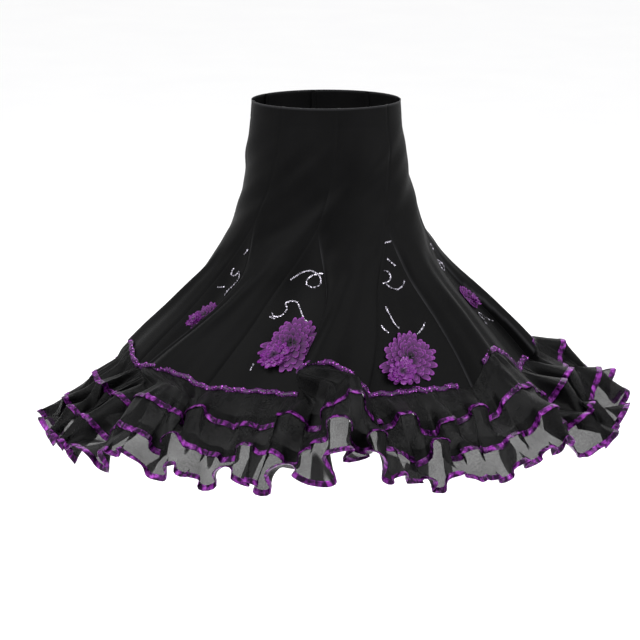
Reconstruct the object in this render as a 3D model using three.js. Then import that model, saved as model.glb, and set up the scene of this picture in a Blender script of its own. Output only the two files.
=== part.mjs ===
// A flamenco skirt in the hollow form that it has when it is worn. Eight gores fit the hips and swirl
// down to a flared hem, a godet with an applique flower opens between each two, and three gathered
// ruffles bound in satin ribbon follow the hem under a sequinned braid.
// Millimetres, +Z up, front towards -Y, +X to the right of the front, origin at the waist's centre.
import * as THREE from "three";

// Driving sizes
const WALL = 1.5;
const SEAM_GAP = 0.3;
const REPEATS = 8;
const STEPS_PER_REPEAT = 16;
const HEM_DOWN = 530;
const APEX_ROW = 4;
const PANEL_ROWS = [0, 0.11, 0.23, 0.34, 0.45, 0.54, 0.64, 0.75, 0.87, 1];
const RUFFLE_JOIN = 15;
const UPPER_ROWS = [0.5, 1];
const LOWER_PLACES = [0, 1, 1.5, 2];
const HEM_ROUND = 1;
const RIBBON = { width: 9, thick: 2.6, gap: 0.45 };
const BRAID = { width: 8, thick: 3.5, from: 2, to: 15 };
const FLOWER = { radius: 55, thick: 4, spokes: 20, scallop: 0.13, margin: 3, clear: 0.6 };

// A flower's rings from its middle, over its rim and back underneath, as shares of its radius and thickness
const FLOWER_RINGS = [
  { share: 0.2, thickness: 1.4 },
  { share: 0.62, thickness: 1 },
  { share: 1, thickness: 0.8 },
  { share: 1, thickness: 0 },
  { share: 0.5, thickness: 0 },
];

// The form on a general figure: half width, half depth and lean to +X at each distance below the waist
const FORM = [
  { down: 0, width: 147, depth: 110, lean: 0 },
  { down: 50, width: 151, depth: 114, lean: 0 },
  { down: 100, width: 158, depth: 120, lean: 2 },
  { down: 170, width: 168, depth: 128, lean: 1 },
  { down: 235, width: 186, depth: 142, lean: 2 },
  { down: 295, width: 210, depth: 161, lean: 4 },
  { down: 345, width: 238, depth: 182, lean: 6 },
  { down: 415, width: 296, depth: 226, lean: 12 },
  { down: 475, width: 352, depth: 264, lean: 12 },
  { down: 545, width: 412, depth: 304, lean: 10 },
];

// How far the gores roll outwards, the godets sink inwards and the gores' left edges fold over
const FOLD = [
  { down: 0, roll: 0, sink: 0, over: 0 },
  { down: 235, roll: 0, sink: 0, over: 0 },
  { down: 300, roll: 10, sink: 4, over: 0 },
  { down: 370, roll: 24, sink: 9, over: 0.5 },
  { down: 450, roll: 32, sink: 13, over: 1 },
  { down: 545, roll: 38, sink: 13, over: 1 },
];

// Each gore's side seams, in degrees from the front towards +X: where they leave the waist, where the
// godets are let in, and at two heights below. over is how many degrees the gore's left edge folds
// over the godet beside it, and lift how far its hem is cut above the godets'.
const SEAM_DOWN = { hip: 230, mid: 370, hem: 545 };
const GORES = [
  { name: "front_left", waist: -36, hip: -51, left: [-47, -61], right: [-28, -39], over: 15, lift: 25 },
  { name: "front", waist: 9, hip: -6, left: [-1, -6], right: [21, 9], over: 15, lift: 66 },
  { name: "front_right", waist: 54, hip: 39, left: [44, 43], right: [74, 69], over: 2, lift: 58 },
  { name: "right", waist: 99, hip: 84, left: [93, 92], right: [118, 115], over: 8, lift: 36 },
  { name: "back_right", waist: 144, hip: 129, left: [137, 135], right: [160, 156], over: 12, lift: 32 },
  { name: "back", waist: 189, hip: 174, left: [181, 179], right: [204, 200], over: 12, lift: 30 },
  { name: "back_left", waist: 234, hip: 219, left: [225, 222], right: [248, 242], over: 12, lift: 34 },
  { name: "left", waist: 279, hip: 264, left: [267, 262], right: [289, 281], over: 12, lift: 26 },
];

// Where the flower sits on the godet to the right of each gore: how far down the skirt and how far across
// the godet
const FLOWER_PLACES = [
  { beside: "front_left", down: 442, across: 0.6 },
  { beside: "front", down: 470, across: 0.42 },
  { beside: "front_right", down: 400, across: 0.6 },
  { beside: "right", down: 450, across: 0.5 },
  { beside: "back_right", down: 440, across: 0.55 },
  { beside: "back", down: 465, across: 0.45 },
  { beside: "back_left", down: 445, across: 0.5 },
  { beside: "left", down: 415, across: 0.62 },
];

// The ruffles from the top one down: what shows of each below the one above, how far its waves swing,
// its waves in each repeat, and where on the ruffle above it is sewn
const RUFFLES = [
  { name: "upper", shows: 78, swing: 17, waves: 3, phase: -0.75, wander: 0 },
  { name: "middle", shows: 66, swing: 18, waves: 3.5, phase: 0.05, wander: 0.1 },
  { name: "lower", shows: 56, swing: 20, waves: 4, phase: 0.9, wander: 0 },
];
const SEWN_DROP = 4;
const EDGE_DROP = 10;
const UNFOLDED_AT = 0.5;
const LEVELLING = 0.45;
const OUTWARD_REACH = 0.25;

// A gore's columns bunch towards its left edge as that folds over, and its roll leans the same way.
// The ruffles keep a part of the roll.
const BUNCH = { full: 12, power: 0.5 };
const ROLL = { bias: 0.75, kept: 0.55 };

// Slow sines round the skirt that make a ruffle's waves uneven in place and in size: their waves in all,
// where they start, how much of the ruffle's own phase is added, and their size
const WANDERS = [
  { waves: 3, start: 1.3, phase: 0, size: 1 },
  { waves: 5, start: 0, phase: 1, size: 1 },
];
const SWELLS = [
  { waves: 2, start: 0, phase: 9, size: 0.25 },
  { waves: 7, start: 0, phase: 0, size: 0.15 },
];

// How far the ruffles stand out from hanging straight, in degrees, round the skirt from the left side
const STAND = [
  { at: -120, tilt: 50 },
  { at: -90, tilt: 54 },
  { at: -60, tilt: 60 },
  { at: -20, tilt: 64 },
  { at: 20, tilt: 62 },
  { at: 42, tilt: 59 },
  { at: 62, tilt: 49 },
  { at: 82, tilt: 62 },
  { at: 98, tilt: 66 },
  { at: 135, tilt: 54 },
  { at: 180, tilt: 50 },
  { at: 240, tilt: 50 },
];

const CLOTH = new THREE.MeshStandardMaterial({ name: "black_knit", color: 0x161616, roughness: 0.85 });
const CHIFFON = new THREE.MeshStandardMaterial({ name: "black_chiffon", color: 0x1c1c1c, roughness: 0.7 });
const SATIN = new THREE.MeshStandardMaterial({ name: "purple_satin", color: 0x7a2a8c, roughness: 0.35 });
const BRAIDING = new THREE.MeshStandardMaterial({ name: "purple_braid", color: 0x6a2080, roughness: 0.5 });
const LACE = new THREE.MeshStandardMaterial({ name: "purple_lace", color: 0x87329a, roughness: 0.75 });

const { lerp, smoothstep, degToRad, radToDeg, euclideanModulo } = THREE.MathUtils;

// A column of a table, curved smoothly through its rows
function along(table, key, at, column) {
  const last = table.length - 1;
  let i = 0;
  while (i < last - 1 && at > table[i + 1][key]) i++;
  const slope = (n) => {
    const before = table[Math.max(n - 1, 0)];
    const after = table[Math.min(n + 1, last)];
    return (after[column] - before[column]) / (after[key] - before[key]);
  };
  const span = table[i + 1][key] - table[i][key];
  const t = Math.min(Math.max((at - table[i][key]) / span, 0), 1);
  const ease = t * t * (3 - 2 * t);
  const leave = t * (1 - t) * (1 - t) * span * slope(i);
  const arrive = t * t * (t - 1) * span * slope(i + 1);
  return lerp(table[i][column], table[i + 1][column], ease) + leave + arrive;
}

// A place round the skirt: q counts the repeats, and each repeat is a gore and then its godet
function place(q) {
  const whole = Math.floor(q + 1e-9);
  const part = Math.max(q - whole, 0);
  const index = euclideanModulo(whole, REPEATS);
  const turns = 360 * Math.floor(whole / REPEATS);
  return { index, turns, inGore: part < 0.5, share: part < 0.5 ? 2 * part : 2 * part - 1 };
}

// A gore's side seam in degrees. Above the godets it is one seam with the next gore's.
function seamAngle(index, side, down) {
  const shared = side === "right" ? index + 1 : index;
  const turns = (n) => 360 * Math.floor(n / REPEATS);
  const { waist, hip } = GORES[euclideanModulo(shared, REPEATS)];
  if (down <= SEAM_DOWN.hip) return lerp(waist, hip, (down / SEAM_DOWN.hip) ** 2) + turns(shared);
  const [mid, hem] = GORES[euclideanModulo(index, REPEATS)][side];
  const rows = [
    { down: SEAM_DOWN.hip, angle: hip + turns(shared) },
    { down: SEAM_DOWN.mid, angle: mid + turns(index) },
    { down: SEAM_DOWN.hem, angle: hem + turns(index) },
  ];
  return along(rows, "down", down, "angle");
}

// The point of the skirt's outer face at q and down; a fold below 1 opens the folds out
function bodyPoint(q, down, fold = 1) {
  const { index, turns, inGore, share } = place(q);
  const left = seamAngle(index, "left", down);
  const right = seamAngle(index, "right", down);
  const next = seamAngle(index + 1, "left", down);
  const folding = (column) => Math.max(along(FOLD, "down", down, column), 0);
  const over = folding("over") * fold * GORES[index].over;
  let angle = lerp(right, next, share);
  const kept = lerp(ROLL.kept, 1, fold);
  let offset = -folding("sink") * kept * Math.sin(Math.PI * share);
  if (inGore) {
    const bunch = 1 + BUNCH.power * Math.min(over / BUNCH.full, 1);
    angle = lerp(left, right, share ** bunch) - over * Math.sin(Math.PI * share) * (1 - share);
    const bias = lerp(1, ROLL.bias, fold);
    offset = folding("roll") * kept * Math.sin(Math.PI * share ** bias);
  }
  const turn = degToRad(angle + turns);
  const width = along(FORM, "down", down, "width") + offset;
  const depth = along(FORM, "down", down, "depth") + offset;
  const x = along(FORM, "down", down, "lean") + width * Math.sin(turn);
  return new THREE.Vector3(x, -depth * Math.cos(turn), -down);
}

function hemDown(q) {
  const { index, inGore, share } = place(q);
  const rise = inGore ? GORES[index].lift * Math.sin(Math.PI * share) ** HEM_ROUND : 0;
  return HEM_DOWN - rise;
}

// The level outward direction at q on the hem, with the folds left out
function outwardAt(q) {
  const way = bodyPoint(q + OUTWARD_REACH, HEM_DOWN, 0);
  way.sub(bodyPoint(q - OUTWARD_REACH, HEM_DOWN, 0)).normalize();
  return new THREE.Vector3(way.y, -way.x, 0);
}

// How the ruffles fall at q: the way down them and the way that their waves swing
function fallAt(q) {
  const outward = outwardAt(q);
  let at = radToDeg(Math.atan2(outward.x, -outward.y));
  if (at < STAND[0].at) at += 360;
  const tilt = degToRad(along(STAND, "at", at, "tilt"));
  const way = outward.clone().multiplyScalar(Math.sin(tilt)).setZ(-Math.cos(tilt));
  const swing = outward.clone().multiplyScalar(Math.cos(tilt)).setZ(Math.sin(tilt));
  return { way, swing };
}

function sines(table, ruffle, q) {
  const round = (2 * Math.PI * q) / REPEATS;
  const values = table.map((row) => {
    return row.size * Math.sin(row.waves * round + row.start + row.phase * ruffle.phase);
  });
  return values.reduce((sum, value) => sum + value, 0);
}

// How far a ruffle's edge swings out at q
function wave(ruffle, q) {
  const turns = ruffle.waves * q + ruffle.phase + ruffle.wander * sines(WANDERS, ruffle, q);
  return (1 + sines(SWELLS, ruffle, q)) * ruffle.swing * Math.cos(2 * Math.PI * turns);
}

// The upper ruffle's outer face: t is 0 at the hem that it is gathered into and 1 where its ribbon starts
function upperPoint(q, t) {
  const { way, swing } = fallAt(q);
  const start = bodyPoint(q, hemDown(q), 1 - smoothstep(t, 0, UNFOLDED_AT));
  const length = RUFFLES[0].shows + LEVELLING * (HEM_DOWN - hemDown(q));
  return start.addScaledVector(way, t * length).addScaledVector(swing, t * wave(RUFFLES[0], q));
}

// Where the ribbon on a ruffle's edge is folded, at column c
function ribbonFold(cloth, c) {
  return cloth.points[cloth.points.length - 1][c].clone()
    .addScaledVector(fallAt(c / STEPS_PER_REPEAT).way, RIBBON.width);
}

// A lower ruffle's rows of points: it is sewn inside the one above, drops away from it down to its
// ribbon's edge, and makes its own waves below that
function lowerRows(level, aboveCloth) {
  const ruffle = RUFFLES[level];
  const { points, normals } = aboveCloth;
  const last = points.length - 1;
  const sewn = (c) => points[last - 1][c].clone().addScaledVector(normals[last - 1][c], -SEWN_DROP);
  const edge = (c) => ribbonFold(aboveCloth, c).addScaledVector(normals[last][c], -EDGE_DROP);
  return LOWER_PLACES.map((place) => (q, c) => {
    if (place === 0) return sewn(c);
    const { way, swing } = fallAt(q);
    const change = wave(ruffle, q) - wave(RUFFLES[level - 1], q);
    const below = place - 1;
    return edge(c).addScaledVector(way, below * ruffle.shows).addScaledVector(swing, below * change);
  });
}

// Cloth all round the skirt: rows of points down it, a column at each step, and the way out at each.
// rows is a list of functions that give the point at q.
function clothRound(rows) {
  const columns = REPEATS * STEPS_PER_REPEAT;
  const steps = Array.from({ length: columns }, (_, c) => c);
  const points = rows.map((row) => steps.map((c) => row(c / STEPS_PER_REPEAT, c)));
  const at = (r, c) => points[Math.min(Math.max(r, 0), rows.length - 1)][euclideanModulo(c, columns)];
  // The next point along a row, past those that lie together where a godet hasn't begun
  const beside = (r, c, step) => {
    let next = c + step;
    while (at(r, next).distanceTo(at(r, c)) < SEAM_GAP) next += step;
    return at(r, next);
  };
  const normals = points.map((row, r) => row.map((_, c) => {
    const round = beside(r, c, 1).clone().sub(beside(r, c, -1));
    const down = at(r + 1, c).clone().sub(at(r - 1, c));
    return down.cross(round).normalize();
  }));
  return { points, normals, columns };
}

function towards(from, to, distance) {
  return from.clone().addScaledVector(to.clone().sub(from).normalize(), distance);
}

// A piece cut from the cloth: a closed wall from row top to low and column first to last, each seam
// edge drawn in by half of the gap between pieces
function piece(cloth, top, low, first, last) {
  const rows = low - top + 1;
  const columns = last - first + 1;
  const count = rows * columns;
  const at = (r, c) => cloth.points[top + r][euclideanModulo(first + c, cloth.columns)];
  const outer = [];
  const inner = [];
  for (let r = 0; r < rows; r++) {
    for (let c = 0; c < columns; c++) {
      let point = at(r, c).clone();
      if (c === 0) point = towards(point, at(r, 1), SEAM_GAP / 2);
      if (c === columns - 1) point = towards(point, at(r, c - 1), SEAM_GAP / 2);
      if (r === 0 && top > 0) point = towards(point, at(1, c), SEAM_GAP / 2);
      if (r === rows - 1) point = towards(point, at(r - 1, c), SEAM_GAP / 2);
      const normal = cloth.normals[top + r][euclideanModulo(first + c, cloth.columns)];
      outer.push(point);
      inner.push(point.clone().addScaledVector(normal, -WALL));
    }
  }
  const number = (r, c) => r * columns + c;
  const faces = [];
  const quad = (a, b, c, d) => faces.push(a, b, c, a, c, d);
  const edge = (a, b) => (a < b ? quad(a, b, b + count, a + count) : quad(b, b + count, a + count, a));
  for (let r = 0; r < rows - 1; r++) {
    for (let c = 0; c < columns - 1; c++) {
      const corners = [number(r, c), number(r + 1, c), number(r + 1, c + 1), number(r, c + 1)];
      quad(...corners);
      quad(...[corners[0], corners[3], corners[2], corners[1]].map((corner) => corner + count));
    }
    edge(number(r + 1, 0), number(r, 0));
    edge(number(r, columns - 1), number(r + 1, columns - 1));
  }
  for (let c = 0; c < columns - 1; c++) {
    edge(number(0, c), number(0, c + 1));
    edge(number(rows - 1, c + 1), number(rows - 1, c));
  }
  return solid([...outer, ...inner], faces);
}

function solid(points, faces) {
  const geometry = new THREE.BufferGeometry();
  geometry.setAttribute("position", new THREE.Float32BufferAttribute(points.flatMap((p) => p.toArray()), 3));
  geometry.setIndex(faces);
  geometry.computeVertexNormals();
  return geometry;
}

// A strip with a section of three corners at each place along it, closed in a ring or capped
function strip(sections, ring) {
  const count = sections.length;
  const faces = [];
  for (let n = 0; n < (ring ? count : count - 1); n++) {
    const next = (n + 1) % count;
    for (let corner = 0; corner < 3; corner++) {
      const [a, b] = [3 * n + corner, 3 * n + ((corner + 1) % 3)];
      const [c, d] = [3 * next + ((corner + 1) % 3), 3 * next + corner];
      faces.push(a, b, d, b, c, d);
    }
  }
  if (!ring) {
    const last = 3 * (count - 1);
    faces.push(0, 2, 1, last, last + 1, last + 2);
  }
  return solid(sections.flat(), faces);
}

// A binding: satin ribbon folded over a ruffle's edge, thick at its top and thin at the fold
function ribbon(cloth) {
  const last = cloth.points.length - 1;
  const proud = (RIBBON.thick - WALL) / 2;
  const sections = cloth.points[last].map((point, c) => {
    const normal = cloth.normals[last][c];
    const above = cloth.points[last - 1][c];
    const top = towards(point, above, -RIBBON.gap);
    return [
      top.clone().addScaledVector(normal, proud),
      ribbonFold(cloth, c).addScaledVector(normal, -WALL / 2),
      top.clone().addScaledVector(normal, -WALL - proud),
    ];
  });
  return strip(sections, true);
}

// The braid over the seam of a repeat's panels and its ruffle, from the crest of the gore to the fold
// where the next gore hides it
function braid(index) {
  const sections = [];
  for (let step = BRAID.from; step <= BRAID.to; step++) {
    const c = index * STEPS_PER_REPEAT + step;
    const point = skirt.points[HEM_ROW][c];
    const above = skirt.points[HEM_ROW - 1][c];
    const normal = skirt.normals[HEM_ROW][c];
    const lift = (distance, out) => towards(point, above, distance).addScaledVector(normal, out);
    sections.push([
      lift(BRAID.width / 2, SEAM_GAP + BRAID.thick),
      lift(SEAM_GAP, SEAM_GAP),
      lift(BRAID.width, SEAM_GAP),
    ]);
  }
  return strip(sections, false);
}

// The point of a godet's flat faces at q and down, moved out along its normals
function godetPoint(q, down, out) {
  const heights = PANEL_ROWS.map((row) => row * HEM_DOWN);
  const r = Math.min(heights.findIndex((_, n) => down <= heights[n + 1]), HEM_ROW - 1);
  const c = Math.floor(q * STEPS_PER_REPEAT);
  const s = (down - heights[r]) / (heights[r + 1] - heights[r]);
  const w = q * STEPS_PER_REPEAT - c;
  const at = (list, row, column) => list[row][column % skirt.columns];
  const between = (list) => {
    const [a, b] = [at(list, r, c), at(list, r + 1, c)];
    const [d, e] = [at(list, r + 1, c + 1), at(list, r, c + 1)];
    const point = a.clone();
    if (w <= s) return point.addScaledVector(b.clone().sub(a), s).addScaledVector(d.clone().sub(b), w);
    return point.addScaledVector(e.clone().sub(a), w).addScaledVector(d.clone().sub(e), s);
  };
  return between(skirt.points).addScaledVector(between(skirt.normals).normalize(), out);
}

// An applique flower: a raised scalloped disc made from its godet's points, moved out
function flower(index) {
  const { thick, spokes, clear } = FLOWER;
  const { down, across } = FLOWER_PLACES[index];
  const centre = index + 0.5 + across / 2;
  const step = 0.01;
  const rate = (a, b, span) => godetPoint(...a, 0).distanceTo(godetPoint(...b, 0)) / span;
  const acrossRate = rate([centre + step, down], [centre - step, down], 2 * step);
  const downRate = rate([centre, down + 1], [centre, down - 1], 2);
  const room = (Math.min(across, 1 - across) / 2) * acrossRate - FLOWER.margin;
  const radius = Math.min(FLOWER.radius, room);
  const at = (spoke, share, out) => {
    const turn = (2 * Math.PI * spoke) / spokes;
    const scallop = spoke % 2 ? 1 - FLOWER.scallop : 1;
    const reach = share * radius * scallop;
    const q = centre + (reach * Math.sin(turn)) / acrossRate;
    return godetPoint(q, down + (reach * Math.cos(turn)) / downRate, out);
  };
  const points = [godetPoint(centre, down, clear + thick), godetPoint(centre, down, clear)];
  const faces = [];
  FLOWER_RINGS.forEach(({ share, thickness }) => {
    for (let spoke = 0; spoke < spokes; spoke++) points.push(at(spoke, share, clear + thick * thickness));
  });
  const first = 2;
  const last = first + (FLOWER_RINGS.length - 1) * spokes;
  for (let spoke = 0; spoke < spokes; spoke++) {
    const next = (spoke + 1) % spokes;
    faces.push(0, first + spoke, first + next, 1, last + next, last + spoke);
    for (let inner = first; inner < last; inner += spokes) {
      const outer = inner + spokes;
      faces.push(inner + spoke, outer + spoke, outer + next, inner + spoke, outer + next, inner + next);
    }
  }
  return solid(points, faces);
}

// The panels and the upper ruffle are one cloth in form, so their seams meet; the others hang inside
const HEM_ROW = PANEL_ROWS.length - 1;
const panelRows = PANEL_ROWS.map((row) => (q) => bodyPoint(q, row * hemDown(q)));
const upperRows = UPPER_ROWS.map((t) => (q) => upperPoint(q, t));
const skirt = clothRound([...panelRows, ...upperRows]);
const middle = clothRound(lowerRows(1, skirt));
const lower = clothRound(lowerRows(2, middle));

const group = new THREE.Group();

function add(name, geometry, material) {
  const mesh = new THREE.Mesh(geometry, material);
  mesh.name = name;
  group.add(mesh);
}

GORES.forEach(({ name }, index) => {
  const left = index * STEPS_PER_REPEAT;
  const right = left + STEPS_PER_REPEAT / 2;
  const end = left + STEPS_PER_REPEAT;
  const join = left + RUFFLE_JOIN;
  const upperEdge = HEM_ROW + UPPER_ROWS.length;
  const lowEdge = LOWER_PLACES.length - 1;
  add(`gore_${name}`, piece(skirt, 0, HEM_ROW, left, right), CLOTH);
  add(`godet_${name}`, piece(skirt, APEX_ROW, HEM_ROW, right, end), CLOTH);
  add(`flower_${name}`, flower(index), LACE);
  add(`braid_${name}`, braid(index), BRAIDING);
  add(`ruffle_upper_${name}`, piece(skirt, HEM_ROW, upperEdge, join, join + STEPS_PER_REPEAT), CHIFFON);
  add(`ruffle_middle_${name}`, piece(middle, 0, lowEdge, join, join + STEPS_PER_REPEAT), CHIFFON);
  add(`ruffle_lower_${name}`, piece(lower, 0, lowEdge, join, join + STEPS_PER_REPEAT), CHIFFON);
});
[skirt, middle, lower].forEach((cloth, level) => {
  add(`ribbon_${RUFFLES[level].name}`, ribbon(cloth), SATIN);
});

export default group;
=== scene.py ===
import math

import bpy
import numpy as np
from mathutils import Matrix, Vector


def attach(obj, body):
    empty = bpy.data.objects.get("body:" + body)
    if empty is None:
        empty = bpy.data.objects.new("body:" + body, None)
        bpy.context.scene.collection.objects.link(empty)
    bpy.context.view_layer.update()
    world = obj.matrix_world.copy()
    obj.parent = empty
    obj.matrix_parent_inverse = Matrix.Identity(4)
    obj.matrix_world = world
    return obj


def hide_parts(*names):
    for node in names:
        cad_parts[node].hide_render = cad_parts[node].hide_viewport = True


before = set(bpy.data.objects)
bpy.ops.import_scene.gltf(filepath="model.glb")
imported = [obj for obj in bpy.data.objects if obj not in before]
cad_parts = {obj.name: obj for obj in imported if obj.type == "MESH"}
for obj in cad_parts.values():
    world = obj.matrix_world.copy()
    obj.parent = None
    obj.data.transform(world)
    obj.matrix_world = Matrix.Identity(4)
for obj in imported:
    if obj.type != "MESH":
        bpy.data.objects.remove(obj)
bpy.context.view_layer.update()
bpy.ops.object.select_all(action="DESELECT")


# The gores: eight long panels of smooth stretch knit, joined edge to edge over the hips. Below the
# hips each one flares, rolls outwards and folds its left edge over the godet beside it. The waist
# edge is turned in and stitched down, and each seam pulls the cloth in by a hair.
NAMES = ["front_left", "front", "front_right", "right", "back_right", "back", "back_left", "left"]
REPEATS = len(NAMES)
HEM_DOWN = 530
APEX_DOWN = 231
# down, half width, half depth and lean to +X of the form, in millimetres
FORM = np.array([
    [0, 147, 110, 0],
    [50, 151, 114, 0],
    [100, 158, 120, 2],
    [170, 168, 128, 1],
    [235, 186, 142, 2],
    [295, 210, 161, 4],
    [345, 238, 182, 6],
    [415, 296, 226, 12],
    [475, 352, 264, 12],
    [545, 412, 304, 10],
], float)
# down, roll of the gores, sink of the godets and share of the overfold
FOLD = np.array([
    [0, 0, 0, 0],
    [235, 0, 0, 0],
    [300, 10, 4, 0],
    [370, 24, 9, 0.5],
    [450, 32, 13, 1],
    [545, 38, 13, 1],
], float)
# Each gore's seams in degrees from the front: at the waist, at the hip, its left one at mid and hem, its
# right one at mid and hem; then how far its left edge folds over, and how far its hem is lifted
SEAM_DOWN = [230, 370, 545]
GORES = np.array([
    [-36, -51, -47, -61, -28, -39, 15, 25],
    [9, -6, -1, -6, 21, 9, 15, 66],
    [54, 39, 44, 43, 74, 69, 2, 58],
    [99, 84, 93, 92, 118, 115, 8, 36],
    [144, 129, 137, 135, 160, 156, 12, 32],
    [189, 174, 181, 179, 204, 200, 12, 30],
    [234, 219, 225, 222, 248, 242, 12, 34],
    [279, 264, 267, 262, 289, 281, 12, 26],
], float)
# A fold-over of so many degrees draws the gore's columns towards it by this power. Its roll leans to the
# fold by a power too, and a share of the roll is kept where the hem is opened out
BUNCH_FULL = 12
BUNCH_POWER = 0.5
ROLL_BIAS = 0.75
ROLL_KEPT = 0.55
MM = 0.001
WELD = 1e-6
CREASE = math.radians(50)


def lerp(a, b, t):
    return a + (b - a) * t


def curve_between(t, span, a, b, leaving, arriving):
    rise = t * t * (3 - 2 * t)
    return lerp(a, b, rise) + span * (t * (1 - t) ** 2 * leaving + t * t * (t - 1) * arriving)


def along(table, at):
    """A table's further columns at a value of its first one, curved smoothly through the rows."""
    key, value = table[:, 0], table[:, 1:]
    last = len(key) - 1
    at = np.asarray(at, float)
    i = np.clip(np.searchsorted(key, at, side="left") - 1, 0, last - 1)
    before, after = np.maximum(np.arange(last + 1) - 1, 0), np.minimum(np.arange(last + 1) + 1, last)
    slope = (value[after] - value[before]) / (key[after] - key[before])[:, None]
    span = (key[i + 1] - key[i])[..., None]
    t = np.clip((at - key[i])[..., None] / span, 0, 1)
    found = curve_between(t, span, value[i], value[i + 1], slope[i], slope[i + 1])
    return np.moveaxis(found, -1, 0)


def seam_angle(index, right, down):
    """A gore's side seam. Above the godets it is one seam with the next gore's."""
    shared = index + right
    turns = 360 * (shared // REPEATS)
    waist, hip = GORES[shared % REPEATS, 0] + turns, GORES[shared % REPEATS, 1] + turns
    own = 360 * (index // REPEATS)
    mid = GORES[index % REPEATS, 2 + 2 * right] + own
    hem = GORES[index % REPEATS, 3 + 2 * right] + own
    h, m, e = SEAM_DOWN
    above = lerp(waist, hip, (np.minimum(down, h) / h) ** 2)
    slopes = [(mid - hip) / (m - h), (hem - hip) / (e - h), (hem - mid) / (e - m)]
    upper = curve_between(np.clip((down - h) / (m - h), 0, 1), m - h, hip, mid, slopes[0], slopes[1])
    lower = curve_between(np.clip((down - m) / (e - m), 0, 1), e - m, mid, hem, slopes[1], slopes[2])
    return np.where(down <= h, above, np.where(down <= m, upper, lower))


def place(q):
    whole = np.floor(q + 1e-9).astype(int)
    part = np.maximum(q - whole, 0)
    in_gore = part < 0.5
    return whole, in_gore, np.where(in_gore, 2 * part, 2 * part - 1)


def body_point(q, down, fold=1.0):
    """The skirt's outer face in millimetres: q counts the repeats of a gore and its godet."""
    q, down, fold = np.broadcast_arrays(*(np.asarray(value, float) for value in (q, down, fold)))
    index, in_gore, share = place(q)
    left, right = seam_angle(index, 0, down), seam_angle(index, 1, down)
    following = seam_angle(index + 1, 0, down)
    roll, sink, over = np.maximum(along(FOLD, down), 0)
    over = over * fold * GORES[index % REPEATS, 6]
    bunch = 1 + BUNCH_POWER * np.minimum(over / BUNCH_FULL, 1)
    arch = np.sin(np.pi * share)
    gore_angle = lerp(left, right, share ** bunch) - over * arch * (1 - share)
    angle = np.where(in_gore, gore_angle, lerp(right, following, share))
    rolled = roll * np.sin(np.pi * share ** lerp(1, ROLL_BIAS, fold))
    offset = np.where(in_gore, rolled, -sink * arch) * lerp(ROLL_KEPT, 1, fold)
    width, depth, lean = along(FORM, down)
    turn = np.radians(angle)
    x = lean + (width + offset) * np.sin(turn)
    return np.stack([x, -(depth + offset) * np.cos(turn), -down], -1)


def hem_down(q):
    index, in_gore, share = place(q)
    return HEM_DOWN - np.where(in_gore, GORES[index % REPEATS, 7] * np.sin(np.pi * share), 0)


def unit(vectors):
    return vectors / np.maximum(np.linalg.norm(vectors, axis=-1, keepdims=True), 1e-9)


def outward(points, ring=False):
    """The way out of a cloth at each of its points, whose rows run down and columns round."""
    down = np.gradient(points, axis=0)
    if ring:
        across = np.roll(points, -1, axis=1) - np.roll(points, 1, axis=1)
    else:
        across = np.gradient(points, axis=1)
    return unit(np.cross(down, across))


def run_across(points):
    """How far along its row each point lies, in mm from the row's start."""
    step = np.linalg.norm(np.diff(points, axis=1), axis=-1)
    return np.concatenate([np.zeros((len(points), 1)), np.cumsum(step, axis=1)], axis=1)


def new_grid(name, columns, rows):
    """A flat grid, its mesh, and the column and row of each of its vertices."""
    bpy.ops.mesh.primitive_grid_add(x_subdivisions=columns, y_subdivisions=rows, size=1)
    made = bpy.context.object
    made.name = made.data.name = name
    flat = np.empty(len(made.data.vertices) * 3)
    made.data.vertices.foreach_get("co", flat)
    at = np.rint((flat.reshape(-1, 3)[:, :2] + 0.5) * [columns, rows]).astype(int)
    return made, made.data, at[:, 0], at[:, 1]


def lay_uv(mesh, uv):
    """Each vertex's place on the flat cut, in mm, as the mesh's UV."""
    corner = np.empty(len(mesh.loops), int)
    mesh.loops.foreach_get("vertex_index", corner)
    mesh.uv_layers.active.data.foreach_set("uv", (uv[corner] * MM).ravel())


def edit_all():
    bpy.ops.object.mode_set(mode="EDIT")
    bpy.ops.mesh.select_all(action="SELECT")


def give_wall(piece, wall):
    """A wall of so many mm drawn inwards, and smooth faces between the creases."""
    shell = piece.modifiers.new("wall", "SOLIDIFY")
    shell.thickness = wall * MM
    shell.offset = -1
    bpy.ops.object.modifier_apply(modifier=shell.name)
    bpy.ops.object.shade_smooth_by_angle(angle=CREASE)
    piece.select_set(False)


def cut_cloth(name, points, material, wall, ring=False, crest_highlight=None):
    """A piece of cloth: a flat grid, laid on its form point by point, with a wall drawn inwards. An optional
    attribute marks where a highlight is painted into its colour."""
    if ring:
        points = np.concatenate([points, points[:, :1]], axis=1)
    rows, columns = points.shape[:2]
    cloth, mesh, column, from_hem = new_grid(name, columns - 1, rows - 1)
    row = rows - 1 - from_hem
    mesh.vertices.foreach_set("co", (points[row, column] * MM).ravel())
    u = run_across(points)
    u = np.broadcast_to(u[-1:], u.shape) if ring else u - u[:, columns // 2, None]
    v = run_across(points.swapaxes(0, 1)).T
    lay_uv(mesh, np.stack([u[row, column], -v[row, column]], -1))
    if crest_highlight is not None:
        painted_highlight = mesh.attributes.new("crest_highlight", "FLOAT", "POINT")
        painted_highlight.data.foreach_set("value", crest_highlight[row, column])
    if ring:
        edit_all()
        bpy.ops.mesh.remove_doubles(threshold=WELD)
        bpy.ops.object.mode_set(mode="OBJECT")
    give_wall(cloth, wall)
    mesh.materials.append(material)
    return cloth


def turned_behind(points):
    """A cut piece whose right edge goes on behind the piece that it is sewn to."""
    beyond = unit(points[:, -1] - points[:, -2])
    out = outward(points)[:, -1]
    allowance = [points[:, -1] + past * beyond - inward * out for past, inward in ALLOWANCE]
    return np.concatenate([points, np.stack(allowance, axis=1)], axis=1)


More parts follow.
